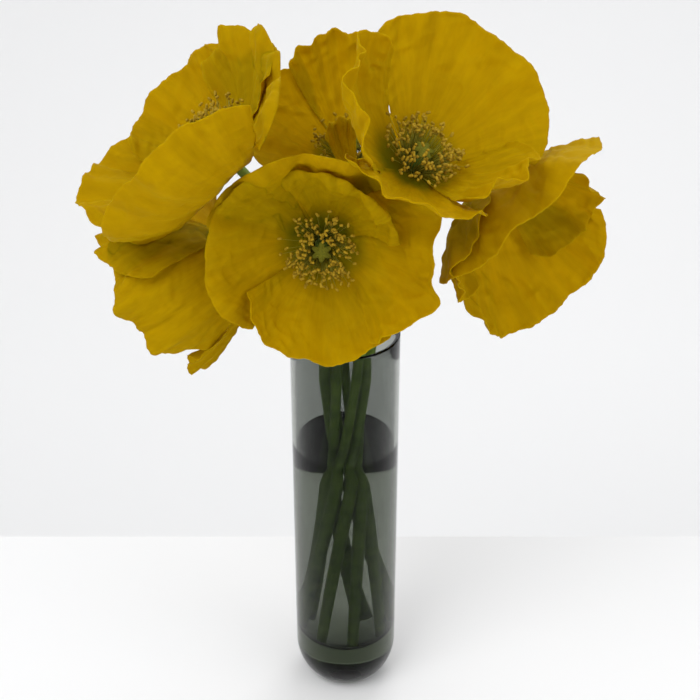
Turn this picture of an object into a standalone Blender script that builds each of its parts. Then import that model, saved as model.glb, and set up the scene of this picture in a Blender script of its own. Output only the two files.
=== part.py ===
"""A bunch of yellow Iceland poppies standing in water in a tall glass cylinder vase.

Metres, +Z up. The origin is the centre of the flat that the vase stands on, and -Y faces whoever looks at it.
"""

from collections import namedtuple
from math import cos, radians, sin, tau

import bmesh
import bpy
import numpy as np

# The vase: one turned piece of glass.
VASE_HEIGHT = 0.200
VASE_RADIUS = 0.025
WALL = 0.0018
FOOT_RADIUS = 0.012
HEEL_HEIGHT = 0.020
BASE_THICKNESS = 0.026
INNER_HEEL = 0.010
LIP = 0.0006
WATER_LEVEL = 0.141
TURNING_STEPS = 40
ARC_POINTS = 5

# Touching pieces keep this much air between them.
GAP = 0.0003

# The stems, which cross over in the vase as in a spiral bunch.
STEM_RADIUS = 0.0021
FOOT_RING = 0.0160
MOUTH_RING = 0.0130
STEM_TWIST = 130.0
STEM_SLOPE = 0.0012
MOUTH_PULL = 0.9
NECK_PULL = 1.0
NECK_LENGTH = 0.0020
STEM_POINTS = 10
HOLE_SPARE = 0.004

# What every bloom has at its centre, measured along its own axis from the seat of its petals.
HUB_RADIUS = 0.0046
HUB_BELOW = 0.0014
HUB_ABOVE = 0.0012
PETAL_ROOT = 0.0030
PETAL_THICKNESS = 0.0006
RING_INNER = 0.0036
RING_OUTER = 0.0056
RING_LOW = 0.0029
RING_HIGH = 0.0040
FILAMENT_RADIUS = 0.0004
ANTHER_RADIUS = 0.0008
ANTHER_LENGTH = 0.0022
STAMEN_LENGTH = 0.0155
STAMEN_LEAN = 14.0
OUTER_LEAN = 40.0
PISTIL_RADIUS = 0.0028
PISTIL_HEIGHT = 0.0120
STIGMA_RADIUS = 0.0044
STIGMA_RAYS = 6
RAY_RADIUS = 0.0007
RAY_FOOT = 0.0014
RAY_RISE = 0.16
SINK = 0.0004

# The petals' grid: columns across and rows along.
ACROSS = 9
ALONG = 6

SEED = 7

# One petal. turn: degrees round the bloom from its top, clockwise for someone who looks into it. length: from root
# to rim. base and rim: how far it leans from the bloom's axis at its root and its rim, in degrees. spread: half its
# angle round the bloom. ruffle: height of the waves at its rim, as a share of its length. skew and flare: degrees
# that one side, and both sides, lean more than the middle. corner: how much shorter its sides are. peak: how much
# longer its middle is. layer: how far it lies inside the outermost petals. phase: where its waves start.
Petal = namedtuple("Petal", "turn length base rim spread ruffle skew flare corner peak layer phase",
                   defaults=(82, 30, 60, 0.045, 0, 0, 0.26, 0, 0, 0))

# One bloom. seat: where its petals start. heading: degrees from -Y towards +X that it faces. climb: degrees above
# the level that it faces. leaves: degrees from +X towards +Y at which its stem passes the vase's mouth.
Bloom = namedtuple("Bloom", "name seat heading climb leaves stamens petals")

IN1 = 0.0009
IN2 = 0.0018

BLOOMS = (
    Bloom("front", (-0.0098, -0.0045, 0.2459), 0, 8, 206, 16, (
        Petal(185, 0.052, rim=28, spread=66, ruffle=0.03, skew=-15, corner=0.20),
        Petal(82, 0.060, rim=28, spread=70, skew=-15, flare=-6, corner=0.20, layer=IN1, phase=1.0),
        Petal(282, 0.055, rim=32, spread=62, flare=10, corner=0.18, layer=IN1, phase=2.0),
        Petal(340, 0.057, rim=28, spread=62, skew=-10, flare=8, corner=0.18, phase=3.0),
        Petal(24, 0.056, base=86, rim=0, spread=55, skew=-16, flare=10, peak=-0.14, layer=IN2, phase=4.0))),
    Bloom("right", (0.0278, -0.0196, 0.2878), 40, 58, 308, 16, (
        Petal(60, 0.065, rim=36, spread=58, ruffle=0.04, skew=18, flare=14),
        Petal(312, 0.063, rim=8, spread=50, skew=-6, phase=1.0),
        Petal(230, 0.050, rim=36, spread=54, flare=10, corner=0.36, peak=-0.14, layer=IN1, phase=2.0),
        Petal(147, 0.044, rim=22, spread=40, skew=-20, flare=16, corner=0.28, layer=IN1, phase=3.0))),
    Bloom("low_right", (0.0622, 0.0228, 0.2613), 36, -26, 0, 12, (
        Petal(324, 0.060, base=80, rim=10, spread=80, ruffle=0.04, skew=15, flare=32, corner=0.16, layer=IN1),
        Petal(156, 0.071, base=78, rim=20, spread=68, ruffle=0.04, skew=-10, flare=-8, layer=IN1, phase=1.0),
        Petal(94, 0.056, base=80, rim=16, spread=54, flare=-8, peak=-0.10, phase=2.0),
        Petal(261, 0.056, base=78, rim=20, spread=58, skew=12, flare=-8, corner=0.29, phase=3.0))),
    Bloom("left", (-0.0480, -0.0025, 0.2842), -97, 46, 154, 14, (
        Petal(106, 0.058, base=88, rim=52, spread=68, ruffle=0.03, skew=22, flare=18, corner=0.16, peak=0.08),
        Petal(185, 0.066, rim=40, spread=45, skew=-10, flare=8, corner=0.22, layer=IN1, phase=1.0),
        Petal(354, 0.048, base=86, rim=46, spread=58, skew=34, flare=8, corner=0.16, layer=IN1, phase=2.0),
        Petal(255, 0.059, base=80, rim=24, spread=60, phase=3.0),
        Petal(322, 0.054, base=84, rim=24, spread=48, ruffle=0.06, skew=24, layer=IN2, phase=4.0))),
    Bloom("low_left", (-0.0466, 0.0122, 0.2341), -75, -30, 103, 10, (
        Petal(60, 0.062, base=80, rim=-17, spread=76, ruffle=0.04, skew=-12, flare=16, peak=0.09),
        Petal(164, 0.058, base=80, rim=-2, spread=40, skew=18, flare=10, peak=0.06, layer=IN1, phase=1.0),
        Petal(348, 0.065, base=84, rim=-6, spread=60, corner=0.24, layer=IN1, phase=2.0),
        Petal(262, 0.062, base=84, rim=36, spread=52, skew=46, flare=46, corner=0.20, phase=3.0))),
    Bloom("back", (0.0022, 0.0616, 0.2558), 5, 62, 51, 12, (
        Petal(0, 0.059, rim=28, spread=44, ruffle=0.04, skew=16, corner=0.16),
        Petal(275, 0.054, rim=40, spread=62, skew=-6, corner=0.22, layer=IN1, phase=1.0),
        Petal(95, 0.050, rim=36, spread=54, layer=IN1, phase=2.0),
        Petal(180, 0.030, rim=20, spread=56, phase=3.0))),
    Bloom("middle", (0.0062, 0.0202, 0.2615), 0, 60, 257, 8, (
        Petal(20, 0.030, rim=15, spread=40),
        Petal(120, 0.022, rim=20, spread=50, layer=IN1, phase=1.0))),
)


def clear_scene():
    for item in list(bpy.data.objects):
        bpy.data.objects.remove(item, do_unlink=True)


def new_collection(name):
    collection = bpy.data.collections.new(name)
    bpy.context.scene.collection.children.link(collection)
    return collection


def new_material(name, colour, roughness, alpha=1.0):
    material = bpy.data.materials.new(name)
    material.use_nodes = True
    shader = material.node_tree.nodes["Principled BSDF"]
    shader.inputs["Base Color"].default_value = (*colour, 1.0)
    shader.inputs["Roughness"].default_value = roughness
    shader.inputs["Metallic"].default_value = 0.0
    shader.inputs["Alpha"].default_value = alpha
    return material


def new_object(name, mesh, collection, material=None):
    item = bpy.data.objects.new(name, mesh)
    collection.objects.link(item)
    if material:
        mesh.materials.append(material)
    return item


def finish_round(item, angle=40):
    item.data.shade_smooth()
    item.data.set_sharp_from_angle(angle=radians(angle))


def settle(item):
    """Apply the object's modifiers, so that its mesh is its final shape."""
    evaluated = item.evaluated_get(bpy.context.evaluated_depsgraph_get())
    mesh = bpy.data.meshes.new_from_object(evaluated)
    item.modifiers.clear()
    item.data = mesh
    return item


def drop_scraps(mesh):
    """Keep only the largest loose piece of a mesh."""
    shape = bmesh.new()
    shape.from_mesh(mesh)
    shape.verts.ensure_lookup_table()
    seen = set()
    groups = []
    for start in shape.verts:
        if start.index in seen:
            continue
        group = [start]
        seen.add(start.index)
        for vertex in group:
            for edge in vertex.link_edges:
                other = edge.other_vert(vertex)
                if other.index not in seen:
                    seen.add(other.index)
                    group.append(other)
        groups.append(group)
    groups.sort(key=len, reverse=True)
    scraps = [vertex for group in groups[1:] for vertex in group]
    bmesh.ops.delete(shape, geom=scraps, context="VERTS")
    shape.to_mesh(mesh)
    shape.free()


def fuse(base, others):
    """Join a node's repeats into its base with one union on a collection, which then goes."""
    bunch = new_collection(base.name + "_repeats")
    for item in others:
        for owner in list(item.users_collection):
            owner.objects.unlink(item)
        bunch.objects.link(item)
    union = base.modifiers.new("union", "BOOLEAN")
    union.operation = "UNION"
    union.operand_type = "COLLECTION"
    union.collection = bunch
    union.solver = "EXACT"
    union.use_self = False
    settle(base)
    for item in others:
        bpy.data.objects.remove(item, do_unlink=True)
    bpy.data.collections.remove(bunch)
    drop_scraps(base.data)
    return base


def quarter(centre, radius, start, end, count=ARC_POINTS):
    """Points of an arc of an ellipse in the profile's plane, with angles in degrees from +X towards +Z."""
    turns = np.radians(np.linspace(start, end, count))
    return [(centre[0] + radius[0] * cos(t), centre[1] + radius[1] * sin(t)) for t in turns]


def turned(name, profile, steps, collection, material):
    """A profile in X and Z, turned once round the Z axis."""
    mesh = bpy.data.meshes.new(name)
    edges = [(i, i + 1) for i in range(len(profile) - 1)]
    mesh.from_pydata([(x, 0.0, z) for x, z in profile], edges, [])
    item = new_object(name, mesh, collection, material)
    screw = item.modifiers.new("turn", "SCREW")
    screw.axis = "Z"
    screw.angle = tau
    screw.steps = steps
    screw.render_steps = steps
    screw.use_merge_vertices = True
    screw.merge_threshold = 0.00001
    return item


def inner_profile(inset):
    """The inside of the glass from the middle of its floor up to its heel, drawn in by an inset."""
    wall = VASE_RADIUS - WALL - inset
    floor = BASE_THICKNESS + inset
    heel = INNER_HEEL - inset
    return [(0.0, floor)] + quarter((wall - heel, floor + heel), (heel, heel), -90, 0)


def make_vase(collection):
    glass = new_material("smoke_glass", (0.30, 0.33, 0.34), 0.05, 0.35)
    lip = VASE_HEIGHT - LIP
    inside = inner_profile(0.0) + [(VASE_RADIUS - WALL, lip)]
    rim = [(VASE_RADIUS - WALL + LIP, VASE_HEIGHT), (VASE_RADIUS - LIP, VASE_HEIGHT), (VASE_RADIUS, lip)]
    heel = quarter((FOOT_RADIUS, HEEL_HEIGHT), (VASE_RADIUS - FOOT_RADIUS, HEEL_HEIGHT), 0, -90, 8)
    vase = turned("vase", inside + rim + heel + [(0.0, 0.0)], TURNING_STEPS, collection, glass)
    settle(vase)
    finish_round(vase)
    return vase


def make_water(collection):
    """The water, with a plain hole for each stem."""
    clear = new_material("water", (0.42, 0.47, 0.45), 0.02, 0.45)
    low = inner_profile(GAP)
    profile = [(0.0, WATER_LEVEL), (low[-1][0], WATER_LEVEL)] + low[::-1]
    water = turned("water", profile, TURNING_STEPS, collection, clear)
    settle(water)
    cutters = new_collection("cutters")
    for bloom in BLOOMS:
        cutter = tube("hole_" + bloom.name, stem_route(bloom, sunk=True), STEM_RADIUS + GAP, cutters, None)
        cut = water.modifiers.new("hole", "BOOLEAN")
        cut.operation = "DIFFERENCE"
        cut.object = cutter
        cut.solver = "EXACT"
    settle(water)
    for cutter in list(cutters.objects):
        bpy.data.objects.remove(cutter, do_unlink=True)
    bpy.data.collections.remove(cutters)
    drop_scraps(water.data)
    finish_round(water)
    return water


def bloom_axes(bloom):
    """The bloom's own up, its right hand for someone who looks into it, and the way it faces."""
    heading = radians(bloom.heading)
    climb = radians(bloom.climb)
    out = np.array([sin(heading) * cos(climb), -cos(heading) * cos(climb), sin(climb)])
    up = np.array([-sin(heading) * sin(climb), cos(heading) * sin(climb), cos(climb)])
    return up, np.cross(up, out), out


def to_world(points, bloom):
    """Points given as up, right and out of a bloom's seat, in world space."""
    up, right, out = bloom_axes(bloom)
    points = np.asarray(points, dtype=float)
    return np.array(bloom.seat) + points[..., :1] * up + points[..., 1:2] * right + points[..., 2:] * out


def ring_point(radius, degrees, height):
    turn = radians(degrees)
    return np.array([radius * cos(turn), radius * sin(turn), height])


def hermite(start, end, leave, arrive, count):
    """Points of the cubic from start to end that leaves and arrives along the two given vectors."""
    t = np.linspace(0.0, 1.0, count)[:, None]
    return ((2 * t**3 - 3 * t**2 + 1) * start + (t**3 - 2 * t**2 + t) * leave
            + (3 * t**2 - 2 * t**3) * end + (t**3 - t**2) * arrive)


def stem_route(bloom, sunk=False):
    """A stem from the vase's floor, across the vase to its mouth, and up into the back of its bloom.

    Sunk, it is the route of the stem's hole: it starts under the water and ends above its surface.
    """
    low = BASE_THICKNESS + GAP + STEM_SLOPE
    foot = ring_point(FOOT_RING, bloom.leaves - STEM_TWIST, low)
    mouth = ring_point(MOUTH_RING, bloom.leaves, VASE_HEIGHT)
    along = (mouth - foot) / np.linalg.norm(mouth - foot)
    if sunk:
        rise = (WATER_LEVEL + HOLE_SPARE - low) / along[2]
        return np.array([foot - along * HOLE_SPARE, foot + along * rise])
    inside = foot + (mouth - foot) * np.linspace(0.0, 1.0, 4)[:, None]
    out = bloom_axes(bloom)[2]
    head = np.array(bloom.seat) - out * (HUB_BELOW + GAP)
    neck = head - out * NECK_LENGTH
    way = np.linalg.norm(neck - mouth)
    above = hermite(mouth, neck, along * MOUTH_PULL * way, out * NECK_PULL * way, STEM_POINTS)
    return np.vstack([inside, above[1:], head])


def tube(name, points, radius, collection, material):
    """A round rod along points: a curve with a bevel and filled caps, made into a mesh with its caps welded."""
    curve = bpy.data.curves.new(name, "CURVE")
    curve.dimensions = "3D"
    curve.bevel_depth = radius
    curve.bevel_resolution = 2
    curve.use_fill_caps = True
    spline = curve.splines.new("POLY")
    spline.points.add(len(points) - 1)
    for place, point in zip(spline.points, points):
        place.co = (*point, 1.0)
    drawn = bpy.data.objects.new(name, curve)
    collection.objects.link(drawn)
    evaluated = drawn.evaluated_get(bpy.context.evaluated_depsgraph_get())
    mesh = bpy.data.meshes.new_from_object(evaluated)
    shape = bmesh.new()
    shape.from_mesh(mesh)
    bmesh.ops.remove_doubles(shape, verts=shape.verts, dist=0.00001)
    bmesh.ops.recalc_face_normals(shape, faces=shape.faces)
    shape.to_mesh(mesh)
    shape.free()
    bpy.data.objects.remove(drawn, do_unlink=True)
    bpy.data.curves.remove(curve)
    item = new_object(name, mesh, collection, material)
    finish_round(item)
    return item


def petal_grid(petal, across, along):
    """A petal's surface as up, right and out of its bloom's seat.

    Each column runs from the root to the rim at its own angle round the bloom, and leans from the bloom's axis by
    base degrees at its root and rim degrees at its rim. Waves grow towards the rim.
    """
    side = np.linspace(-1.0, 1.0, across)[None, :]
    step = np.linspace(0.0, 1.0, along)[:, None]
    reach = petal.length * (1 - petal.corner * np.abs(side) ** 3.2 + petal.peak * (1 - side**2))
    ray = step * reach
    share = ray / petal.length
    rim = petal.rim + petal.skew * side + petal.flare * side**2
    lean = np.radians(petal.base + (rim - petal.base) * share**0.8)
    stride = np.diff(ray, axis=0)
    middle = (lean[1:] + lean[:-1]) / 2
    start = np.zeros_like(side)
    radius = PETAL_ROOT + np.vstack([start, np.cumsum(stride * np.sin(middle), axis=0)])
    height = petal.layer + np.vstack([start, np.cumsum(stride * np.cos(middle), axis=0)])
    wave = np.sin(3 * np.pi * side + petal.phase) + 0.45 * np.sin(6.9 * np.pi * side + 2.1 * petal.phase + 1)
    wave = petal.ruffle * petal.length * share**2.2 * wave
    radius = radius - wave * np.cos(lean)
    height = height + wave * np.sin(lean)
    angle = np.radians(petal.turn + petal.spread * side * (0.75 + 0.25 * share))
    return np.stack([radius * np.cos(angle), radius * np.sin(angle), height], axis=-1)


def petal_mesh(name, points):
    """A grid of points, split into triangles alike all over."""
    rows, columns = points.shape[:2]
    index = np.arange(rows * columns).reshape(rows, columns)
    a, b = index[:-1, :-1].ravel(), index[:-1, 1:].ravel()
    c, d = index[1:, 1:].ravel(), index[1:, :-1].ravel()
    faces = np.concatenate([np.stack([a, b, c], axis=1), np.stack([a, c, d], axis=1)])
    mesh = bpy.data.meshes.new(name)
    mesh.from_pydata(points.reshape(-1, 3).tolist(), [], faces.tolist())
    return mesh


def disc(name, bloom, radius, low, high, sides, collection, material=None, hole=0.0):
    """A short cylinder, or a ring, on a bloom's axis."""
    turns = np.arange(sides) * tau / sides
    shape = bmesh.new()
    rings = []
    levels = ((radius, low), (radius, high), (hole, high), (hole, low)) if hole else ((radius, low), (radius, high))
    for wide, level in levels:
        around = np.stack([wide * np.cos(turns), wide * np.sin(turns), np.full(sides, level)], axis=-1)
        rings.append([shape.verts.new(point) for point in to_world(around, bloom)])
    count = len(rings)
    pairs = range(count) if hole else range(count - 1)
    for k in pairs:
        for i in range(sides):
            j = (i + 1) % sides
            m = (k + 1) % count
            shape.faces.new((rings[k][i], rings[k][j], rings[m][j], rings[m][i]))
    if not hole:
        shape.faces.new(rings[0][::-1])
        shape.faces.new(rings[1])
    bmesh.ops.recalc_face_normals(shape, faces=shape.faces)
    mesh = bpy.data.meshes.new(name)
    shape.to_mesh(mesh)
    shape.free()
    return new_object(name, mesh, collection, material)


def make_petals(bloom, collection, material):
    """All of a bloom's petals, fused to the hub that they grow from."""
    hub = disc("petals_" + bloom.name, bloom, HUB_RADIUS, -HUB_BELOW, HUB_ABOVE, 12, collection, material)
    blades = []
    for count, petal in enumerate(bloom.petals):
        grid = to_world(petal_grid(petal, ACROSS, ALONG), bloom)
        blade = new_object("blade_%d" % count, petal_mesh("blade", grid), collection, material)
        wall = blade.modifiers.new("wall", "SOLIDIFY")
        wall.thickness = PETAL_THICKNESS
        wall.offset = 0.0
        blades.append(settle(blade))
    fuse(hub, blades)
    finish_round(hub, 60)
    return hub


def lathe_at(name, bloom, foot, direction, profile, sides, collection, material=None):
    """A small turned solid with few sides: a profile of radius and height along a direction from a foot."""
    direction = direction / np.linalg.norm(direction)
    aside = np.cross(direction, (0.0, 0.3, 1.0) if abs(direction[2]) < 0.9 else (1.0, 0.0, 0.0))
    aside = aside / np.linalg.norm(aside)
    across = np.cross(direction, aside)
    turns = np.arange(sides) * tau / sides
    shape = bmesh.new()
    rings = []
    for wide, level in profile:
        around = foot + level * direction + wide * (np.cos(turns)[:, None] * aside + np.sin(turns)[:, None] * across)
        rings.append([shape.verts.new(point) for point in to_world(around, bloom)])
    for lower, upper in zip(rings, rings[1:]):
        for i in range(sides):
            j = (i + 1) % sides
            shape.faces.new((lower[i], lower[j], upper[j], upper[i]))
    shape.faces.new(rings[0][::-1])
    shape.faces.new(rings[-1])
    bmesh.ops.recalc_face_normals(shape, faces=shape.faces)
    mesh = bpy.data.meshes.new(name)
    shape.to_mesh(mesh)
    shape.free()
    return new_object(name, mesh, collection, material)


def make_stamens(bloom, collection, material, chance):
    """A ring of stamens, each a filament with its anther, fused to the ring that they stand on."""
    ring = disc("stamens_" + bloom.name, bloom, RING_OUTER, RING_LOW, RING_HIGH, 12, collection, material, RING_INNER)
    stalks = []
    middle = (RING_INNER + RING_OUTER) / 2
    for count in range(bloom.stamens):
        turn = tau * (count + chance.uniform(-0.2, 0.2)) / bloom.stamens
        lean = radians((STAMEN_LEAN, OUTER_LEAN)[count % 2] + chance.uniform(-4, 4))
        length = STAMEN_LENGTH * chance.uniform(0.82, 1.08)
        away = np.array([cos(turn), sin(turn), 0.0])
        direction = away * sin(lean) + np.array([0.0, 0.0, cos(lean)])
        foot = away * middle + np.array([0.0, 0.0, RING_LOW + SINK])
        profile = ((FILAMENT_RADIUS, 0.0), (FILAMENT_RADIUS, length - ANTHER_LENGTH),
                   (ANTHER_RADIUS, length - ANTHER_LENGTH / 2), (FILAMENT_RADIUS, length))
        stalks.append(lathe_at("stalk_%d" % count, bloom, foot, direction, profile, 3, collection))
    fuse(ring, stalks)
    return ring


def make_pistil(bloom, collection, material):
    """The ovary, a ribbed barrel, with the rays of the stigma over it."""
    low = HUB_ABOVE + GAP
    tall = PISTIL_HEIGHT - low
    shares = ((0.65, 0.0), (0.85, 0.17), (1.0, 0.47), (0.8, 0.88), (0.7, 1.0))
    profile = [(PISTIL_RADIUS * wide, low + tall * level) for wide, level in shares]
    upright = np.array([0.0, 0.0, 1.0])
    ovary = lathe_at("pistil_" + bloom.name, bloom, np.zeros(3), upright, profile, 8, collection, material)
    rays = []
    for count in range(STIGMA_RAYS):
        turn = tau * count / STIGMA_RAYS
        away = np.array([cos(turn), sin(turn), 0.0])
        direction = away + RAY_RISE * upright
        foot = away * RAY_FOOT + upright * (PISTIL_HEIGHT - SINK)
        shape = ((RAY_RADIUS, 0.0), (RAY_RADIUS, STIGMA_RADIUS - RAY_FOOT))
        rays.append(lathe_at("ray_%d" % count, bloom, foot, direction, shape, 4, collection))
    fuse(ovary, rays)
    return ovary


def main():
    clear_scene()
    collection = new_collection("poppy_in_vase")
    yellow = new_material("poppy_petal", (0.62, 0.42, 0.02), 0.6)
    gold = new_material("poppy_stamen", (0.60, 0.36, 0.03), 0.7)
    green = new_material("poppy_pistil", (0.22, 0.30, 0.05), 0.6)
    stalk = new_material("poppy_stem", (0.12, 0.19, 0.06), 0.6)
    chance = np.random.default_rng(SEED)
    make_vase(collection)
    make_water(collection)
    for bloom in BLOOMS:
        tube("stem_" + bloom.name, stem_route(bloom), STEM_RADIUS, collection, stalk)
        make_petals(bloom, collection, yellow)
        make_stamens(bloom, collection, gold, chance)
        make_pistil(bloom, collection, green)


main()
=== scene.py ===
from collections import namedtuple

import bmesh
import bpy
import numpy as np
from mathutils import Euler, Matrix, Vector


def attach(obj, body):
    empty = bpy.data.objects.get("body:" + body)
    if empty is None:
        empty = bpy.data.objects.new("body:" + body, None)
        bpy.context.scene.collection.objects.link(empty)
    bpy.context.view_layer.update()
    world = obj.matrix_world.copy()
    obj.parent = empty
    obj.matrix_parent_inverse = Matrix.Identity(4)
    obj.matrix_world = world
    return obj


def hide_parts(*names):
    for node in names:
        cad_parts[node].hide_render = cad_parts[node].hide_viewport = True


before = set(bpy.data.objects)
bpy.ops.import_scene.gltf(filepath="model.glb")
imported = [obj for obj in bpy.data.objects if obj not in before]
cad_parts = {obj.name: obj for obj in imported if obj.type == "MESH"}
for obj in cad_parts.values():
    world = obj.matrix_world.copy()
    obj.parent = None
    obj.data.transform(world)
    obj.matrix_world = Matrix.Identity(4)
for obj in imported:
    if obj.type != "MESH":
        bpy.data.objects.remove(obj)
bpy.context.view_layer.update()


# The studio. The vase stands on a white table, near its back edge. Behind it a lower floor bends up into a
# pale backdrop. Broad soft lights stand round it, and a camera looks down on the bunch, as its maker does.
SWEEP_WIDTH = 5.0
SWEEP_FRONT = -1.6
TABLE_BACK = 0.106
TABLE_EDGE = 0.004
TABLE_DROP = 0.40
SWEEP_BACK = 1.1
SWEEP_BEND = 0.5
SWEEP_TOP = 2.6
SWEEP_COLOUR = (0.90, 0.90, 0.90)
CAMERA_PLACE = (0.00225, -0.5557, 0.5261)
CAMERA_PITCH = np.radians(31.2)
CAMERA_LENS = 73.7
ROOM_COLOUR = (0.96, 0.965, 0.98)
ROOM_STRENGTH = 0.70


def sweep_surface(across, along):
    """The table runs flat, drops over its rounded edge to the floor, and that turns up to the backdrop."""
    turn = np.linspace(0, np.pi / 2, along)
    table = np.array([(SWEEP_FRONT, 0.0)])
    edge = np.stack([TABLE_BACK - TABLE_EDGE * (1 - np.sin(turn)), TABLE_EDGE * (np.cos(turn) - 1)], axis=-1)
    floor = np.array([(TABLE_BACK, -TABLE_DROP)])
    bend = np.stack([SWEEP_BACK + SWEEP_BEND * np.sin(turn),
                     SWEEP_BEND * (1 - np.cos(turn)) - TABLE_DROP], axis=-1)
    tall = np.array([(SWEEP_BACK + SWEEP_BEND, SWEEP_TOP)])
    profile = np.vstack([table, edge, floor, bend, tall])
    sideways = np.linspace(-SWEEP_WIDTH / 2, SWEEP_WIDTH / 2, across)
    points = np.empty((len(profile), across, 3))
    points[..., 0] = sideways[None, :]
    points[..., 1] = profile[:, :1]
    points[..., 2] = profile[:, 1:]
    return points


def sheet_faces(rows, columns, wrap=False, first=0):
    """Quads between the neighbours of a grid of points, whose last column meets its first where it wraps."""
    index = first + np.arange(rows * columns).reshape(rows, columns)
    if wrap:
        index = np.hstack([index, index[:, :1]])
    corners = [index[:-1, :-1], index[:-1, 1:], index[1:, 1:], index[1:, :-1]]
    return np.stack(corners, axis=-1).reshape(-1, 4)


def mesh_piece(name, points, faces, materials, uv=None, smooth=True):
    """An object from whole arrays: its points, its faces of alike size, and a UV place for each point."""
    points = np.asarray(points, dtype=float).reshape(-1, 3)
    mesh = bpy.data.meshes.new(name)
    mesh.vertices.add(len(points))
    mesh.vertices.foreach_set("co", points.ravel())
    sides = faces.shape[1]
    mesh.loops.add(faces.size)
    mesh.loops.foreach_set("vertex_index", faces.ravel())
    mesh.polygons.add(len(faces))
    mesh.polygons.foreach_set("loop_start", np.arange(0, faces.size, sides))
    if uv is not None:
        layer = mesh.uv_layers.new(name="UVMap")
        layer.data.foreach_set("uv", uv.reshape(-1, 2)[faces.ravel()].ravel())
    mesh.update(calc_edges=True)
    mesh.validate()
    if smooth:
        mesh.shade_smooth()
    for material in materials:
        mesh.materials.append(material)
    piece = bpy.data.objects.new(name, mesh)
    bpy.context.scene.collection.objects.link(piece)
    return piece


def paper_material():
    """Matt white paper with a trace of tooth."""
    material = bpy.data.materials.new("sweep_paper")
    material.use_nodes = True
    nodes, links = material.node_tree.nodes, material.node_tree.links
    shader = nodes["Principled BSDF"]
    shader.inputs["Base Color"].default_value = (*SWEEP_COLOUR, 1)
    shader.inputs["Roughness"].default_value = 0.9
    shader.inputs["Specular IOR Level"].default_value = 0.2
    tooth = nodes.new("ShaderNodeTexNoise")
    tooth.inputs["Scale"].default_value = 300.0
    bump = nodes.new("ShaderNodeBump")
    bump.inputs["Strength"].default_value = 0.05
    bump.inputs["Distance"].default_value = 0.0005
    place = nodes.new("ShaderNodeTexCoord")
    links.new(place.outputs["Object"], tooth.inputs["Vector"])
    links.new(tooth.outputs["Fac"], bump.inputs["Height"])
    links.new(bump.outputs["Normal"], shader.inputs["Normal"])
    return material


sweep_grid = sweep_surface(3, 25)
sweep = mesh_piece("sweep", sweep_grid, sheet_faces(*sweep_grid.shape[:2]), [paper_material()], smooth=False)

Softbox = namedtuple("Softbox", "name place target width power")
SOFTBOXES = (
    Softbox("key", (-0.8, -0.9, 1.7), (0.0, 0.0, 0.2), 1.1, 14.4),
    Softbox("fill", (1.3, -0.8, 0.9), (0.0, 0.0, 0.2), 1.2, 4.8),
    Softbox("rim", (0.4, 1.3, 1.4), (0.0, 0.0, 0.25), 1.0, 8.0),
)
for box in SOFTBOXES:
    lamp = bpy.data.lights.new(box.name, "AREA")
    lamp.size = box.width
    lamp.energy = box.power
    holder = bpy.data.objects.new(box.name, lamp)
    aim = Vector(box.target) - Vector(box.place)
    holder.matrix_world = Matrix.Translation(box.place) @ aim.to_track_quat("-Z", "Y").to_matrix().to_4x4()
    bpy.context.scene.collection.objects.link(holder)

room = bpy.data.worlds.new("room")
room.use_nodes = True
room.node_tree.nodes["Background"].inputs["Color"].default_value = (*ROOM_COLOUR, 1)
room.node_tree.nodes["Background"].inputs["Strength"].default_value = ROOM_STRENGTH
bpy.context.scene.world = room

view = bpy.data.cameras.new("camera")
view.lens = CAMERA_LENS
view.sensor_width = 36.0
camera = bpy.data.objects.new("camera", view)
camera.location = CAMERA_PLACE
camera.rotation_euler = Euler((np.pi / 2 - CAMERA_PITCH, 0, 0))
bpy.context.scene.collection.objects.link(camera)
bpy.context.scene.camera = camera
bpy.context.scene.view_settings.view_transform = "Standard"


# The vase. One piece of smoke grey glass, blown in a turned mould: a thin straight wall, a thick solid base
# with a rounded heel, and a fire-polished lip. It stands on its flat foot, and the water and stems in it.
VASE_HEIGHT = 0.200
VASE_RADIUS = 0.025
WALL = 0.0018
FOOT_RADIUS = 0.012
HEEL_HEIGHT = 0.020
BASE_THICKNESS = 0.026
INNER_HEEL = 0.010
VASE_TURNS = 128
GLASS_TINT = (0.41, 0.425, 0.41)
GLASS_IOR = 1.5
GLASS_SMOKE = (0.28, 0.35, 0.18)
GLASS_DENSITY = 60.0
CLEAR_GLEAM = (0.1, 0.1, 0.1)


def arc(centre, radii, start, end, count):
    """Points of an arc of an ellipse in the profile's plane, from start to end degrees."""
    turn = np.radians(np.linspace(start, end, count))
    return np.stack([centre[0] + radii[0] * np.cos(turn), centre[1] + radii[1] * np.sin(turn)], axis=-1)


def straight(start, end, count):
    """Evenly spaced points from start to end, without either."""
    step = np.linspace(0, 1, count + 2)[1:-1, None]
    return np.array(start) * (1 - step) + np.array(end) * step


def turned_surface(profile, turns):
    """Each point of the profile, at its radius and height, is carried once round the vase's axis."""
    angle = np.arange(turns) * 2 * np.pi / turns
    radius, height = profile[:, :1], profile[:, 1:]
    return np.stack([radius * np.cos(angle), radius * np.sin(angle), height + 0 * angle], axis=-1)


def close_poles(piece):
    """Merge the points that meet on the axis, so that the skin is closed, and turn its faces outwards."""
    shape = bmesh.new()
    shape.from_mesh(piece.data)
    bmesh.ops.remove_doubles(shape, verts=shape.verts, dist=0.000002)
    bmesh.ops.recalc_face_normals(shape, faces=shape.faces)
    shape.to_mesh(piece.data)
    shape.free()


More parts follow.
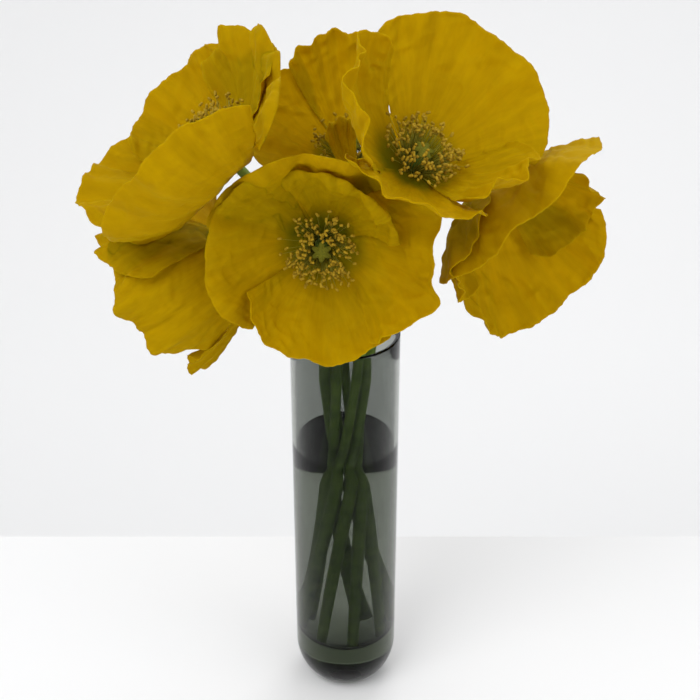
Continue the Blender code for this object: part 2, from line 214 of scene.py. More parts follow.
def clear_material(name, tint, ior, smoke, density):
    """Clear glass or water: an even tint, a faint gleam face on, and a body that darkens with thickness."""
    material = bpy.data.materials.new(name)
    material.use_nodes = True
    nodes, links = material.node_tree.nodes, material.node_tree.links
    shader = nodes["Principled BSDF"]
    shader.inputs["Base Color"].default_value = (*tint, 1)
    shader.inputs["Metallic"].default_value = 0.0
    shader.inputs["Transmission Weight"].default_value = 1.0
    shader.inputs["IOR"].default_value = ior
    shader.inputs["Specular Tint"].default_value = (*CLEAR_GLEAM, 1)
    shader.inputs["Roughness"].default_value = 0.0
    body = nodes.new("ShaderNodeVolumeAbsorption")
    body.inputs["Color"].default_value = (*smoke, 1)
    body.inputs["Density"].default_value = density
    links.new(body.outputs["Volume"], nodes["Material Output"].inputs["Volume"])
    return material


inner_wall = VASE_RADIUS - WALL
lip = WALL / 2
vase_profile = np.vstack([
    [(0.0, BASE_THICKNESS)],
    straight((0.0, BASE_THICKNESS), (inner_wall - INNER_HEEL, BASE_THICKNESS), 5),
    arc((inner_wall - INNER_HEEL, BASE_THICKNESS + INNER_HEEL), (INNER_HEEL, INNER_HEEL), -90, 0, 14),
    straight((inner_wall, BASE_THICKNESS + INNER_HEEL), (inner_wall, VASE_HEIGHT - lip), 12),
    arc((VASE_RADIUS - lip, VASE_HEIGHT - lip), (lip, lip), 180, 0, 10),
    straight((VASE_RADIUS, VASE_HEIGHT - lip), (VASE_RADIUS, HEEL_HEIGHT), 14),
    arc((FOOT_RADIUS, HEEL_HEIGHT), (VASE_RADIUS - FOOT_RADIUS, HEEL_HEIGHT), 0, -90, 22),
    [(FOOT_RADIUS / 2, 0.0), (0.0, 0.0)],
])
vase_grid = turned_surface(vase_profile, VASE_TURNS)
smoke_glass = clear_material("smoke_glass", GLASS_TINT, GLASS_IOR, GLASS_SMOKE, GLASS_DENSITY)
vase = mesh_piece("glass_cylinder", vase_grid, sheet_faces(*vase_grid.shape[:2], wrap=True), [smoke_glass])
close_poles(vase)
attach(vase, "root")
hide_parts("vase")


# The water. It fills the vase to about 70% of its height and wets the glass, which draws its edge up a little
# way into a meniscus. The stems stand in it.
WATER_LEVEL = 0.141
MENISCUS = 0.0003
WETTING = 0.00008
WATER_IOR = 1.333
WATER_TINT = (0.95, 0.96, 0.94)
WATER_MURK = (0.5, 0.6, 0.2)
WATER_DENSITY = 5.0

wet_wall = inner_wall + WETTING
wet_heel = INNER_HEEL + WETTING
surface_radius = wet_wall * np.sin(np.linspace(np.pi / 2, 0, 24))
surface_height = WATER_LEVEL + MENISCUS * np.exp(-(wet_wall - surface_radius) / MENISCUS)
water_profile = np.vstack([
    [(0.0, BASE_THICKNESS - WETTING)],
    straight((0.0, BASE_THICKNESS - WETTING), (wet_wall - wet_heel, BASE_THICKNESS - WETTING), 5),
    arc((wet_wall - wet_heel, BASE_THICKNESS - WETTING + wet_heel), (wet_heel, wet_heel), -90, 0, 14),
    straight((wet_wall, BASE_THICKNESS + INNER_HEEL), (wet_wall, WATER_LEVEL), 8),
    np.stack([surface_radius, surface_height], axis=-1),
])
water_grid = turned_surface(water_profile, VASE_TURNS)
still_water = clear_material("still_water", WATER_TINT, WATER_IOR, WATER_MURK, WATER_DENSITY)
water = mesh_piece("water_fill", water_grid, sheet_faces(*water_grid.shape[:2], wrap=True), [still_water])
close_poles(water)
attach(water, "root")
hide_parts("water")


# The stems. Each poppy has one leafless green stalk with fine hairs. They stand on the vase's floor, cross
# over in the water as in a spiral bunch, and each bends over into the back of its bloom.
STEM_RADIUS = 0.0023
STEM_FOOT = 0.0275
FOOT_RING = 0.0160
MOUTH_RING = 0.0130
STEM_TWIST = 130.0
MOUTH_PULL = 0.9
NECK_PULL = 1.0
NECK_LENGTH = 0.0020
HUB_BELOW = 0.0014
HUB_GAP = 0.0003
STEM_SIDES = 20
STEM_RIDGES = 5
STEM_RIDGE = 0.035
GIRTH_SWING = 0.05
NECK_FLARE = (1.0, 1.35, 1.8)
STEM_LIGHT = (0.34, 0.50, 0.09)
STEM_DARK = (0.15, 0.26, 0.035)
HAIRS = 260
HAIR_LENGTH = 0.0016
HAIR_RADIUS = 0.00007
HAIR_SEAT = 0.96
HAIR_SCATTER = 0.003
HAIR_LIGHT = (0.30, 0.36, 0.18)
HAIR_DARK = (0.20, 0.24, 0.10)
BARE_FOOT = 14
BARE_NECK = 4
SEED = 3

# One petal. turn: degrees round the bloom from its top, clockwise for someone who looks into it. length: from
# root to rim. base and rim: how far it leans from the bloom's axis at its root and its rim, in degrees.
# spread: half its angle round the bloom. ruffle: height of the waves at its rim, as a share of its length.
# skew and flare: degrees that one side, and both sides, lean more than the middle. corner: how much shorter
# its sides are. peak: how much longer its middle is. layer: how far it lies inside the outermost petals.
# phase: where its waves start. curl: degrees that its rim rolls over, outwards where it is positive.
Petal = namedtuple("Petal", "turn length base rim spread ruffle skew flare corner peak layer phase curl",
                   defaults=(82, 30, 60, 0.045, 0, 0, 0.26, 0, 0, 0, 0))

# One bloom. seat: where its petals start. heading: degrees from -Y towards +X that it faces. climb: degrees
# above the level that it faces. leaves: degrees from +X towards +Y at which its stem passes the vase's mouth.
# stamens: how many it has. brush: how long they are.
STAMEN_LENGTH = 0.0165
Bloom = namedtuple("Bloom", "name seat heading climb leaves stamens petals brush", defaults=(STAMEN_LENGTH,))

# The layers of the inner petals.
IN1 = 0.0009
IN2 = 0.0018

BLOOMS = (
    Bloom("front", (-0.0098, -0.0045, 0.2459), 0, 8, 206, 200, (
        Petal(185, 0.052, rim=28, spread=66, ruffle=0.03, skew=-15, corner=0.20),
        Petal(82, 0.060, rim=28, spread=70, skew=-15, flare=-6, corner=0.20, layer=IN1, phase=1.0),
        Petal(282, 0.055, rim=32, spread=62, flare=10, corner=0.18, layer=IN1, phase=2.0, curl=40),
        Petal(340, 0.057, rim=28, spread=62, skew=-10, flare=8, corner=0.18, phase=3.0, curl=60),
        Petal(24, 0.056, base=86, rim=0, spread=55, skew=-16, flare=10, peak=-0.14, layer=IN2, phase=4.0,
              curl=110))),
    Bloom("right", (0.0278, -0.0196, 0.2878), 40, 58, 308, 190, (
        Petal(58, 0.065, rim=36, spread=64, ruffle=0.04, skew=18, flare=14),
        Petal(312, 0.063, rim=8, spread=55, skew=-6, phase=1.0),
        Petal(228, 0.051, rim=36, spread=60, flare=10, corner=0.30, peak=-0.14, layer=IN1, phase=2.0),
        Petal(150, 0.049, rim=22, spread=47, skew=-20, flare=16, corner=0.20, layer=IN1, phase=3.0))),
    Bloom("low_right", (0.0622, 0.0228, 0.2613), 36, -26, 0, 100, (
        Petal(324, 0.060, base=80, rim=10, spread=80, ruffle=0.04, skew=15, flare=32, corner=0.16, layer=IN1),
        Petal(156, 0.071, base=78, rim=20, spread=68, ruffle=0.04, skew=-10, flare=-8, layer=IN1, phase=1.0),
        Petal(94, 0.056, base=80, rim=16, spread=54, flare=-8, peak=-0.10, phase=2.0),
        Petal(261, 0.056, base=78, rim=20, spread=58, skew=12, flare=-8, corner=0.29, phase=3.0))),
    Bloom("left", (-0.0480, -0.0025, 0.2842), -97, 46, 154, 150, (
        Petal(106, 0.062, base=122, rim=18, spread=68, ruffle=0.03, skew=22, flare=18, corner=0.16,
              peak=0.08),
        Petal(185, 0.066, rim=40, spread=45, skew=-10, flare=8, corner=0.22, layer=IN1, phase=1.0),
        Petal(354, 0.048, base=86, rim=46, spread=58, skew=34, flare=8, corner=0.16, layer=IN1, phase=2.0,
              curl=90),
        Petal(255, 0.059, base=80, rim=24, spread=60, phase=3.0),
        Petal(322, 0.054, base=84, rim=24, spread=48, ruffle=0.06, skew=24, layer=IN2, phase=4.0, curl=60)),
          0.0215),
    Bloom("low_left", (-0.0466, 0.0122, 0.2341), -75, -30, 103, 80, (
        Petal(60, 0.062, base=80, rim=-17, spread=76, ruffle=0.04, skew=-12, flare=16, peak=0.09),
        Petal(164, 0.058, base=80, rim=-2, spread=40, skew=18, flare=10, peak=0.06, layer=IN1, phase=1.0),
        Petal(348, 0.065, base=84, rim=-6, spread=60, corner=0.24, layer=IN1, phase=2.0),
        Petal(262, 0.062, base=84, rim=36, spread=52, skew=46, flare=46, corner=0.20, phase=3.0))),
    Bloom("back", (0.0022, 0.0616, 0.2558), 5, 62, 51, 150, (
        Petal(0, 0.059, rim=28, spread=44, ruffle=0.04, skew=16, corner=0.16),
        Petal(275, 0.054, rim=40, spread=62, skew=-6, corner=0.22, layer=IN1, phase=1.0),
        Petal(95, 0.050, rim=36, spread=54, layer=IN1, phase=2.0),
        Petal(180, 0.030, rim=20, spread=56, phase=3.0))),
    Bloom("middle", (0.0062, 0.0202, 0.2615), 0, 60, 257, 30, (
        Petal(335, 0.031, rim=0, spread=23, curl=80),
        Petal(120, 0.022, rim=20, spread=50, layer=IN1, phase=1.0)), 0.010),
)


def bloom_axes(bloom):
    """The bloom's own up, its right hand for someone who looks into it, and the way it faces."""
    heading, climb = np.radians(bloom.heading), np.radians(bloom.climb)
    out = np.array([np.sin(heading) * np.cos(climb), -np.cos(heading) * np.cos(climb), np.sin(climb)])
    up = np.array([-np.sin(heading) * np.sin(climb), np.cos(heading) * np.sin(climb), np.cos(climb)])
    return up, np.cross(up, out), out


def to_world(points, bloom):
    """Points given as up, right and out of a bloom's seat, in world space."""
    up, right, out = bloom_axes(bloom)
    return np.array(bloom.seat) + points[..., :1] * up + points[..., 1:2] * right + points[..., 2:] * out


def ring_point(radius, degrees, height):
    """A point at a radius and height round the vase's axis."""
    turn = np.radians(degrees)
    return np.array([radius * np.cos(turn), radius * np.sin(turn), height])


def hermite(start, end, leave, arrive, count):
    """The cubic from start to end that leaves and arrives along the two given vectors."""
    t = np.linspace(0.0, 1.0, count)[:, None]
    return ((2 * t**3 - 3 * t**2 + 1) * start + (t**3 - 2 * t**2 + t) * leave
            + (3 * t**2 - 2 * t**3) * end + (t**3 - t**2) * arrive)


def stem_route(bloom):
    """Straight from the vase's floor to its mouth, then a cubic up into the back of the bloom."""
    foot = ring_point(FOOT_RING, bloom.leaves - STEM_TWIST, STEM_FOOT)
    mouth = ring_point(MOUTH_RING, bloom.leaves, VASE_HEIGHT)
    along = (mouth - foot) / np.linalg.norm(mouth - foot)
    out = bloom_axes(bloom)[2]
    head = np.array(bloom.seat) - out * (HUB_BELOW + HUB_GAP)
    neck = head - out * NECK_LENGTH
    way = np.linalg.norm(neck - mouth)
    above = hermite(mouth, neck, along * MOUTH_PULL * way, out * NECK_PULL * way, 36)
    inside = foot + (mouth - foot) * np.linspace(0, 1, 24)[:, None]
    return np.vstack([inside, above[1:], head, head + out * HUB_GAP])


def path_frames(path):
    """The way along each point of a path and two directions across it, turned as little as possible."""
    along = np.gradient(path, axis=0)
    along /= np.linalg.norm(along, axis=1, keepdims=True)
    aside = np.empty_like(along)
    start = np.cross(along[0], (0.3, 1.0, 0.1))
    for k, way in enumerate(along):
        start = start - way * (start @ way)
        start = start / np.linalg.norm(start)
        aside[k] = start
    return along, aside, np.cross(along, aside)


def swept_surface(path, radius, sides, ridge=0.0, ridges=1):
    """Rings round a path, whose radius also waves round the ring to form ridges along it."""
    along, aside, across = path_frames(path)
    turn = np.arange(sides) * 2 * np.pi / sides
    wide = np.broadcast_to(radius, (len(path),))[:, None] * (1 + ridge * np.cos(ridges * turn))[None, :]
    return (path[:, None] + (wide * np.cos(turn))[..., None] * aside[:, None]
            + (wide * np.sin(turn))[..., None] * across[:, None])


def cap_ends(grid):
    """The grid with its first and last rings drawn in to their middles, so that the tube is closed."""
    first = np.repeat(grid[:1].mean(axis=1, keepdims=True), grid.shape[1], axis=1)
    last = np.repeat(grid[-1:].mean(axis=1, keepdims=True), grid.shape[1], axis=1)
    return np.concatenate([first, grid, last])


def stem_hairs(path, chance):
    """Fine bristles as thin closed spikes: three feet round a point of the skin, and a tip that leans."""
    along, aside, across = path_frames(path)
    place = chance.integers(BARE_FOOT, len(path) - BARE_NECK, HAIRS)
    turn = chance.uniform(0, 2 * np.pi, HAIRS)[:, None]
    out = np.cos(turn) * aside[place] + np.sin(turn) * across[place]
    shift = along[place] * chance.uniform(-HAIR_SCATTER, HAIR_SCATTER, HAIRS)[:, None]
    foot = path[place] + out * STEM_RADIUS * HAIR_SEAT + shift
    tip = foot + (out + along[place] * chance.uniform(-0.5, 0.3, HAIRS)[:, None]) * HAIR_LENGTH
    side = np.cross(out, along[place])
    low = foot - along[place] * HAIR_RADIUS
    high = foot + along[place] * HAIR_RADIUS
    points = np.stack([low + side * HAIR_RADIUS, low - side * HAIR_RADIUS, high, tip], axis=1)
    corner = np.array([(0, 1, 3), (1, 2, 3), (2, 0, 3), (0, 2, 1)])
    faces = (np.arange(HAIRS)[:, None, None] * 4 + corner[None]).reshape(-1, 3)
    return points, faces


def mottle_group():
    """A shader group: a colour that drifts between two over the surface, with finer specks, and a height."""
    group = bpy.data.node_groups.new("mottle", "ShaderNodeTree")
    sockets = (("Vector", "NodeSocketVector"), ("Light", "NodeSocketColor"),
               ("Dark", "NodeSocketColor"), ("Scale", "NodeSocketFloat"))
    for name, kind in sockets:
        group.interface.new_socket(name=name, in_out="INPUT", socket_type=kind)
    group.interface.new_socket(name="Color", in_out="OUTPUT", socket_type="NodeSocketColor")
    group.interface.new_socket(name="Height", in_out="OUTPUT", socket_type="NodeSocketFloat")
    nodes, links = group.nodes, group.links
    given, result = nodes.new("NodeGroupInput"), nodes.new("NodeGroupOutput")
    drift = nodes.new("ShaderNodeTexNoise")
    drift.inputs["Detail"].default_value = 6.0
    drift.inputs["Roughness"].default_value = 0.62
    spread = nodes.new("ShaderNodeMapRange")
    spread.inputs["From Min"].default_value = 0.3
    spread.inputs["From Max"].default_value = 0.7
    blend = nodes.new("ShaderNodeMix")
    blend.data_type = "RGBA"
    links.new(given.outputs["Vector"], drift.inputs["Vector"])
    links.new(given.outputs["Scale"], drift.inputs["Scale"])
    links.new(drift.outputs["Fac"], spread.inputs["Value"])
    links.new(spread.outputs["Result"], blend.inputs["Factor"])
    links.new(given.outputs["Light"], blend.inputs["A"])
    links.new(given.outputs["Dark"], blend.inputs["B"])
    links.new(blend.outputs["Result"], result.inputs["Color"])
    links.new(drift.outputs["Fac"], result.inputs["Height"])
    return group


mottle = mottle_group()


def plant_material(name, light, dark, scale, roughness, depth):
    """A matt plant skin: the mottle for its colour, and the same pattern as a shallow bump."""
    material = bpy.data.materials.new(name)
    material.use_nodes = True
    nodes, links = material.node_tree.nodes, material.node_tree.links
    shader = nodes["Principled BSDF"]
    shader.inputs["Roughness"].default_value = roughness
    shader.inputs["Specular IOR Level"].default_value = 0.3
    place = nodes.new("ShaderNodeTexCoord")
    skin = nodes.new("ShaderNodeGroup")
    skin.node_tree = mottle
    skin.inputs["Light"].default_value = (*light, 1)
    skin.inputs["Dark"].default_value = (*dark, 1)
    skin.inputs["Scale"].default_value = scale
    bump = nodes.new("ShaderNodeBump")
    bump.inputs["Strength"].default_value = 0.7
    bump.inputs["Distance"].default_value = depth
    links.new(place.outputs["Object"], skin.inputs["Vector"])
    links.new(skin.outputs["Color"], shader.inputs["Base Color"])
    links.new(skin.outputs["Height"], bump.inputs["Height"])
    links.new(bump.outputs["Normal"], shader.inputs["Normal"])
    return material


def grid_uv(rows, columns):
    """UV places that run once round, or across, and once along a grid."""
    across, along = np.meshgrid(np.linspace(0, 1, columns), np.linspace(0, 1, rows))
    return np.stack([across, along], axis=-1)


stem_skin = plant_material("stem_skin", STEM_LIGHT, STEM_DARK, 120.0, 0.5, 0.0003)
hair_skin = plant_material("stem_hair", HAIR_LIGHT, HAIR_DARK, 200.0, 0.6, 0.0001)
chance = np.random.default_rng(SEED)
for bloom in BLOOMS:
    path = stem_route(bloom)
    girth = STEM_RADIUS * (1 + GIRTH_SWING * np.sin(np.linspace(0, 9, len(path)) + bloom.leaves))
    girth[-len(NECK_FLARE):] = STEM_RADIUS * np.array(NECK_FLARE)
    stem_grid = cap_ends(swept_surface(path, girth, STEM_SIDES, STEM_RIDGE, STEM_RIDGES))
    stem_faces = sheet_faces(*stem_grid.shape[:2], wrap=True)
    stem_uv = grid_uv(*stem_grid.shape[:2])
    stem = mesh_piece("stalk_" + bloom.name, stem_grid, stem_faces, [stem_skin], stem_uv)
    close_poles(stem)
    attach(stem, "root")
    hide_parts("stem_" + bloom.name)
    hair_points, hair_faces = stem_hairs(path, chance)
    hairs = mesh_piece("hairs_" + bloom.name, hair_points, hair_faces, [hair_skin], smooth=False)
    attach(hairs, "root")


# The petals. Four or five to a bloom and two to the small middle one, thin as tissue and creased from the
# bud, bright yellow, with fine veins that fan out from a greenish claw, darkened with painted shade for the
# deep bowl, to a frilled rim. Each grows from the small green hub on top of the stem.
PETAL_ROOT = 0.0030
PETAL_THICKNESS = 0.0003
ACROSS = 100
ALONG = 70
PETAL_LIGHT = (0.42, 0.262, 0.0003)
PETAL_DARK = (0.33, 0.203, 0.0002)
# The claw's own green, darkened with painted shade for the shadow deep in each bloom's bowl.
PETAL_CLAW_AND_SHADE = (0.15, 0.142, 0.002)
FRILL = 0.011
FLUTTER = 0.0009
CURL_START = 0.86
RIDGE_BLUNT = 0.03
RIDGE_MEAN = 0.36
SLOW_SWING = 0.0022
SIDE_SWING = 0.0015
QUICK_SWING = 0.0008
HUB_LIGHT = (0.24, 0.30, 0.06)
HUB_DARK = (0.16, 0.22, 0.04)
HUB_TURNS = 24

# The creases, broad ones first: pitch, how many, how far they fan out in radians, and height as a share of
# the pitch.
CREASES = ((0.022, 2, 0.25, 0.10), (0.012, 3, 0.4, 0.12), (0.007, 5, 0.7, 0.13), (0.0043, 5, 1.0, 0.09))


def ridged(phase):
    """A wave with narrow tops and round bottoms, once in every half turn."""
    return 1 - np.sqrt(np.sin(phase)**2 + RIDGE_BLUNT)


def crumple(aside, ahead, chance):
    """Creases of crumpled silk, as heights in metres.

    Each is a ridged wave across its own direction, bent by a swing, that rises and fades in patches a few
    waves wide. The broad ones run outwards along the petal, and the fine ones run every way.
    """
    swing = SLOW_SWING * np.sin(ahead / 0.0085 + chance.uniform(0, 6))
    swing = swing + SIDE_SWING * np.sin(aside / 0.006 + ahead / 0.011)
    quick = QUICK_SWING * np.sin(ahead / 0.0023 + chance.uniform(0, 6))
    swing = swing + quick * np.sin(aside / 0.0031 + ahead / 0.009)
    height = np.zeros_like(ahead)
    for pitch, waves, fan, steep in CREASES:
        for _ in range(waves):
            slant = chance.normal(0, fan)
            run = (aside + swing) * np.cos(slant) + ahead * np.sin(slant)
            length = ahead * np.cos(slant) - aside * np.sin(slant)
            patch = np.sin(run * 1.7 / pitch + chance.uniform(0, 6))
            patch = patch * np.sin(length * 1.3 / pitch + chance.uniform(0, 6))
            wave = ridged(np.pi * run / pitch + chance.uniform(0, 3)) - RIDGE_MEAN
            height += steep * pitch * wave * np.clip(patch, 0, 1)
    return height


def petal_surface(petal, across, along, chance):
    """A petal as up, right and out of its bloom's seat.

    Each column runs from the root to the rim at its own angle round the bloom, and leans from the bloom's
    axis by base degrees at its root and rim degrees at its rim, where it rolls by curl. Broad waves and
    sharp creases stand up along the surface's normal and grow towards the rim, which is frilled.
    """
    side = np.linspace(-1.0, 1.0, across)[None, :]
    step = np.linspace(0.0, 1.0, along)[:, None]
    start = chance.uniform(0, 6, 4)
    frill = FRILL * (np.sin(3.3 * np.pi * side + start[0]) + 0.55 * np.sin(7.1 * np.pi * side + start[1])
                     + 0.22 * np.sin(17 * np.pi * side + start[2])
                     + 0.30 * np.sin(31 * np.pi * side + start[3]) * np.sin(4 * np.pi * side + start[1])
                     ) * (1 - 0.4 * side**2)
    reach = petal.length * (1 - petal.corner * np.abs(side)**3.2 + petal.peak * (1 - side**2) + frill * step)
    ray = step * reach
    share = ray / petal.length
    rim = petal.rim + petal.skew * side + petal.flare * side**2
    roll = petal.curl * np.clip((step - CURL_START) / (1 - CURL_START), 0, 1)**1.5
    lean = np.radians(petal.base + (rim - petal.base) * share**0.8 + roll)
    stride = np.diff(ray, axis=0)
    middle = (lean[1:] + lean[:-1]) / 2
    still = np.zeros_like(side)
    radius = PETAL_ROOT + np.vstack([still, np.cumsum(stride * np.sin(middle), axis=0)])
    height = petal.layer + np.vstack([still, np.cumsum(stride * np.cos(middle), axis=0)])
    wave = np.sin(3 * np.pi * side + petal.phase) + 0.45 * np.sin(6.9 * np.pi * side + 2.1 * petal.phase + 1)
    wave = petal.ruffle * petal.length * share**2.2 * wave
    spread = np.radians(petal.spread)
    arc_length = side * spread * (PETAL_ROOT + ray * 0.62)
    creases = crumple(arc_length, ray, chance) * np.clip(share * 2.2, 0, 1)**1.2
    flutter = FLUTTER * np.sin(13 * side + start[3]) * np.sin(9 * side + start[0]) * step**6
    wave = wave + creases + flutter
    radius = radius - wave * np.cos(lean)
    height = height + wave * np.sin(lean)
    angle = np.radians(petal.turn) + spread * side * (0.75 + 0.25 * share)
    return np.stack([radius * np.cos(angle), radius * np.sin(angle), height], axis=-1)


def petal_material():
    """Tissue-thin petal: yellow with darker veins along it, a green claw with painted shade, light glowing
    through.
    """
    material = bpy.data.materials.new("poppy_petal_silk")
    material.use_nodes = True
    nodes, links = material.node_tree.nodes, material.node_tree.links
    shader = nodes["Principled BSDF"]
    shader.inputs["Roughness"].default_value = 0.65
    shader.inputs["Specular IOR Level"].default_value = 0.02
    shader.inputs["Subsurface Weight"].default_value = 0.5
    shader.inputs["Subsurface Radius"].default_value = (1.0, 0.75, 0.02)
    shader.inputs["Subsurface Scale"].default_value = 0.002
    place = nodes.new("ShaderNodeTexCoord")
    veins = nodes.new("ShaderNodeMapping")
    veins.inputs["Scale"].default_value = (24.0, 3.0, 1.0)
    streak = nodes.new("ShaderNodeGroup")
    streak.node_tree = mottle
    streak.inputs["Light"].default_value = (*PETAL_LIGHT, 1)
    streak.inputs["Dark"].default_value = (*PETAL_DARK, 1)
    streak.inputs["Scale"].default_value = 1.0
    split = nodes.new("ShaderNodeSeparateXYZ")
    # The claw's green and its painted shade, faded in over the root's third of each petal.
    claw_and_shade = nodes.new("ShaderNodeMapRange")
    claw_and_shade.interpolation_type = "SMOOTHSTEP"
    claw_and_shade.inputs["From Min"].default_value = 0.36
    claw_and_shade.inputs["From Max"].default_value = 0.16
    tint = nodes.new("ShaderNodeMix")
    tint.data_type = "RGBA"
    tint.inputs["B"].default_value = (*PETAL_CLAW_AND_SHADE, 1)
    crinkle = nodes.new("ShaderNodeTexNoise")
    crinkle.inputs["Scale"].default_value = 420.0
    crinkle.inputs["Detail"].default_value = 4.0
    both = nodes.new("ShaderNodeMath")
    both.operation = "MULTIPLY_ADD"
    both.inputs[1].default_value = 0.5
    bump = nodes.new("ShaderNodeBump")
    bump.inputs["Strength"].default_value = 0.55
    bump.inputs["Distance"].default_value = 0.00025
    links.new(place.outputs["UV"], veins.inputs["Vector"])
    links.new(veins.outputs["Vector"], streak.inputs["Vector"])
    links.new(place.outputs["UV"], split.inputs["Vector"])
    links.new(split.outputs["Y"], claw_and_shade.inputs["Value"])
    links.new(claw_and_shade.outputs["Result"], tint.inputs["Factor"])
    links.new(streak.outputs["Color"], tint.inputs["A"])
    links.new(tint.outputs["Result"], shader.inputs["Base Color"])
    links.new(place.outputs["Object"], crinkle.inputs["Vector"])
    links.new(crinkle.outputs["Fac"], both.inputs[0])
    links.new(streak.outputs["Height"], both.inputs[2])
    links.new(both.outputs["Value"], bump.inputs["Height"])
    links.new(bump.outputs["Normal"], shader.inputs["Normal"])
    return material


petal_silk = petal_material()
hub_skin = plant_material("poppy_hub", HUB_LIGHT, HUB_DARK, 300.0, 0.6, 0.0002)
hub_profile = np.array([(0.0, -HUB_BELOW), (0.0024, -HUB_BELOW), (0.0040, -0.0008), (0.0042, 0.0002),
                        (0.0036, 0.0010), (0.0, 0.0012)])
for bloom in BLOOMS:
    grids = [to_world(petal_surface(petal, ACROSS, ALONG, chance), bloom) for petal in bloom.petals]
    faces = [sheet_faces(ALONG, ACROSS, first=k * ALONG * ACROSS) for k in range(len(grids))]
    petals = mesh_piece("corolla_" + bloom.name, np.stack(grids), np.vstack(faces), [petal_silk],
                        np.stack([grid_uv(ALONG, ACROSS)] * len(grids)))
    wall = petals.modifiers.new("thickness", "SOLIDIFY")
    wall.thickness = PETAL_THICKNESS
    wall.offset = 0.0
    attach(petals, "root")
    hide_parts("petals_" + bloom.name)
    hub_grid = to_world(turned_surface(hub_profile, HUB_TURNS), bloom)
    hub = mesh_piece("hub_" + bloom.name, hub_grid, sheet_faces(*hub_grid.shape[:2], wrap=True), [hub_skin])
    close_poles(hub)
    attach(hub, "root")


# The stamens. A dense brush round the ovary: hair-thin pale filaments that spring from the hub and splay
# outwards, each with a plump golden anther, dusty with pollen, that sits loosely across its tip.
STAMEN_RING = 0.0042
STAMEN_LOW = 0.0012
FILAMENT_RADIUS = 0.00016
ANTHER_LENGTH = 0.0023
ANTHER_RADIUS = 0.00064
INNER_LEAN = 6.0
OUTER_LEAN = 50.0
FILAMENT_SIDES = 4
ANTHER_SIDES = 6
FILAMENT_TAPER = (0.05, 1.2, 1.0, 0.9, 0.8, 0.05)
ANTHER_LEVELS = (-0.5, -0.44, -0.25, 0.0, 0.25, 0.44, 0.5)
ANTHER_SWELL = (0.04, 0.6, 1.0, 0.85, 1.0, 0.6, 0.04)
POLLEN_LIGHT = (0.54, 0.35, 0.012)
POLLEN_DARK = (0.26, 0.16, 0.005)
FILAMENT_LIGHT = (0.40, 0.35, 0.04)
FILAMENT_DARK = (0.24, 0.23, 0.02)


def stamen_routes(count, brush, chance):
    """Each filament starts on a ring, leans outwards by its own angle, and curves along its length."""
    turn = chance.uniform(0, 2 * np.pi, count)
    away = np.stack([np.cos(turn), np.sin(turn), np.zeros(count)], axis=-1)
    lean = np.radians(chance.uniform(INNER_LEAN, OUTER_LEAN, count))[:, None]
    length = brush * chance.uniform(0.72, 1.08, count)[:, None]
    foot = away * STAMEN_RING * chance.uniform(0.85, 1.1, count)[:, None] + np.array([0, 0, STAMEN_LOW])
    ahead = away * np.sin(lean) + np.array([0, 0, 1.0]) * np.cos(lean)
    across = np.cross(ahead, away + np.array([0, 0, 0.3]))
    bend = away * chance.uniform(-0.15, 0.3, count)[:, None]
    bend = bend + across * chance.uniform(-0.2, 0.2, count)[:, None]
    t = np.linspace(0, 1, len(FILAMENT_TAPER))[None, :, None]
    return foot[:, None] + length[:, None] * (ahead[:, None] * t + bend[:, None] * t**2 * 0.6)


def tubes_along(routes, radii, sides, chance):
    """A thin tube round each of many routes at once, drawn in to a point at both ends."""
    along = np.gradient(routes, axis=1)
    along /= np.linalg.norm(along, axis=-1, keepdims=True)
    aside = np.cross(along, chance.normal(size=(len(routes), 1, 3)))
    aside /= np.linalg.norm(aside, axis=-1, keepdims=True)
    across = np.cross(along, aside)
    turn = np.arange(sides) * 2 * np.pi / sides
    wide = np.asarray(radii)[None, :, None, None]
    return (routes[:, :, None] + wide * (np.cos(turn)[:, None] * aside[:, :, None]
                                         + np.sin(turn)[:, None] * across[:, :, None]))


def many_faces(count, rows, columns):
    """The wrapped quads of one grid, repeated for each of many like grids."""
    one = sheet_faces(rows, columns, wrap=True)
    return (np.arange(count)[:, None, None] * rows * columns + one[None]).reshape(-1, 4)


anther_skin = plant_material("anther_pollen", POLLEN_LIGHT, POLLEN_DARK, 900.0, 0.8, 0.0003)
filament_skin = plant_material("filament", FILAMENT_LIGHT, FILAMENT_DARK, 400.0, 0.5, 0.00005)
for bloom in BLOOMS:
    routes = stamen_routes(bloom.stamens, bloom.brush, chance)
    thin = FILAMENT_RADIUS * np.array(FILAMENT_TAPER)
    filament_grid = to_world(tubes_along(routes, thin, FILAMENT_SIDES, chance), bloom)
    filament_faces = many_faces(bloom.stamens, len(FILAMENT_TAPER), FILAMENT_SIDES)
    filaments = mesh_piece("filaments_" + bloom.name, filament_grid, filament_faces, [filament_skin])
    tip = routes[:, -1]
    way = routes[:, -1] - routes[:, -2]
    way = way / np.linalg.norm(way, axis=-1, keepdims=True) + 0.9 * chance.normal(size=tip.shape)
    way = way / np.linalg.norm(way, axis=-1, keepdims=True)
    levels = np.array(ANTHER_LEVELS)
    plump = ANTHER_RADIUS * np.array(ANTHER_SWELL)
    anther_routes = tip[:, None] + way[:, None] * levels[None, :, None] * ANTHER_LENGTH
    anther_grid = to_world(tubes_along(anther_routes, plump, ANTHER_SIDES, chance), bloom)
    anther_faces = many_faces(bloom.stamens, len(ANTHER_LEVELS), ANTHER_SIDES)
    anthers = mesh_piece("anthers_" + bloom.name, anther_grid, anther_faces, [anther_skin])
    for piece in (filaments, anthers):
        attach(piece, "root")
    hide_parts("stamens_" + bloom.name)


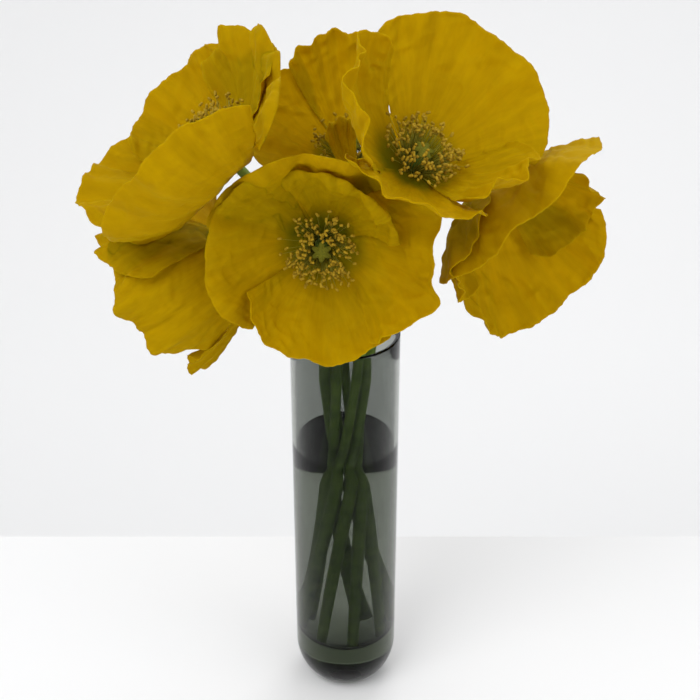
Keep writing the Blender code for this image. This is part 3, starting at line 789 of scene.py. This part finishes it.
# The pistil. A ribbed green ovary, shaped like a small barrel, under a flat cap of velvety yellow-green rays,
# the stigma. It stands in the middle of the stamens, on the hub.
OVARY_RADIUS = 0.0029
OVARY_FOOT = 0.0006
OVARY_TOP = 0.0118
STIGMA_RADIUS = 0.0046
RAYS = 6
OVARY_GRID = (20, 72)
STIGMA_GRID = (21, 96)
OVARY_LIGHT = (0.20, 0.30, 0.05)
OVARY_DARK = (0.11, 0.19, 0.03)
VELVET_LIGHT = (0.21, 0.20, 0.008)
VELVET_DARK = (0.11, 0.11, 0.004)


def ovary_surface(rows, columns):
    """A barrel whose radius swells and narrows along its height, and ripples into two ribs for each ray."""
    level = np.linspace(0, 1, rows)[:, None]
    turn = np.arange(columns)[None, :] * 2 * np.pi / columns
    wide = OVARY_RADIUS * (0.62 + 0.40 * np.sin(np.pi * level**0.8)) * (1 + 0.05 * np.cos(2 * RAYS * turn))
    height = OVARY_FOOT + (OVARY_TOP - OVARY_FOOT) * level + 0 * turn
    return np.stack([wide * np.cos(turn), wide * np.sin(turn), height], axis=-1)


def stigma_surface(rows, columns):
    """A cap with rays: its edge reaches out along each ray, and each ray stands up as a rounded ridge."""
    level = np.linspace(-1, 1, rows)[:, None]
    turn = np.arange(columns)[None, :] * 2 * np.pi / columns
    ray = np.abs(np.cos(RAYS * turn / 2))
    edge = STIGMA_RADIUS * (0.58 + 0.42 * ray**1.3)
    wide = edge * np.sqrt(np.clip(1 - level**2, 0, 1))
    share = wide / STIGMA_RADIUS
    dome = 0.0004 - 0.0009 * share**2
    thick = 0.00045 * level + np.where(level > 0, 0.0005 * ray**4 * np.sqrt(share), 0.0)
    return np.stack([wide * np.cos(turn), wide * np.sin(turn), OVARY_TOP + dome + thick], axis=-1)


ovary_skin = plant_material("ovary_skin", OVARY_LIGHT, OVARY_DARK, 500.0, 0.55, 0.0002)
velvet = plant_material("stigma_velvet", VELVET_LIGHT, VELVET_DARK, 1200.0, 0.9, 0.0003)
for bloom in BLOOMS:
    ovary_grid = to_world(cap_ends(ovary_surface(*OVARY_GRID)), bloom)
    ovary = mesh_piece("ovary_" + bloom.name, ovary_grid, sheet_faces(*ovary_grid.shape[:2], wrap=True),
                       [ovary_skin])
    stigma_grid = to_world(stigma_surface(*STIGMA_GRID), bloom)
    stigma = mesh_piece("stigma_" + bloom.name, stigma_grid, sheet_faces(*stigma_grid.shape[:2], wrap=True),
                        [velvet])
    for piece in (ovary, stigma):
        close_poles(piece)
        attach(piece, "root")
    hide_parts("pistil_" + bloom.name)
